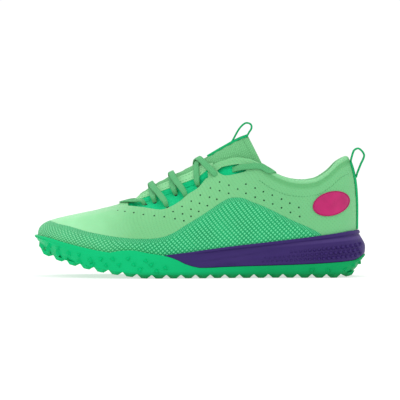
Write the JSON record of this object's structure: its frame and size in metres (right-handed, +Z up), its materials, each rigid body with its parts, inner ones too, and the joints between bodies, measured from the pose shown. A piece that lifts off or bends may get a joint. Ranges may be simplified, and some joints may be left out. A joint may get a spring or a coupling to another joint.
{
  "type": "turf shoe",
  "caption": "Low turf shoe, left foot: pale green upper over a bright green lugged outsole and a purple foam midsole, laced, with pull loops.",
  "frame": {"origin": "centre of the bounding box, on the ground under the lugs", "axes": "+Z up, toe at -X, heel at +X, outer side of the left shoe at -Y"},
  "size_m": [0.28, 0.1, 0.1304],
  "materials": {
    "outsole_rubber": "matte",
    "midsole_foam": "matte",
    "upper_skin": "matte",
    "underlay_textile": "matte",
    "tongue_textile": "matte",
    "lace_textile": "matte",
    "insole_foam": "matte",
    "badge_film": "satin"
  },
  "bodies": {
    "root": {"outsole": "outsole_rubber", "midsole": "midsole_foam", "insole": "insole_foam", "upper": "upper_skin", "eyestay_lateral": "underlay_textile", "eyestay_medial": "underlay_textile", "tongue": "tongue_textile", "tongue_tape": "underlay_textile", "tongue_loop": "underlay_textile", "heel_tape": "underlay_textile", "heel_loop": "underlay_textile", "badge_lateral": "badge_film", "badge_medial": "badge_film", "lace_1": "lace_textile", "lace_2": "lace_textile", "lace_3": "lace_textile", "lace_4": "lace_textile", "lace_5": "lace_textile", "lace_6": "lace_textile", "lace_7": "lace_textile", "lace_end_lateral": "lace_textile", "lace_end_medial": "lace_textile"}
  },
  "joints": []
}
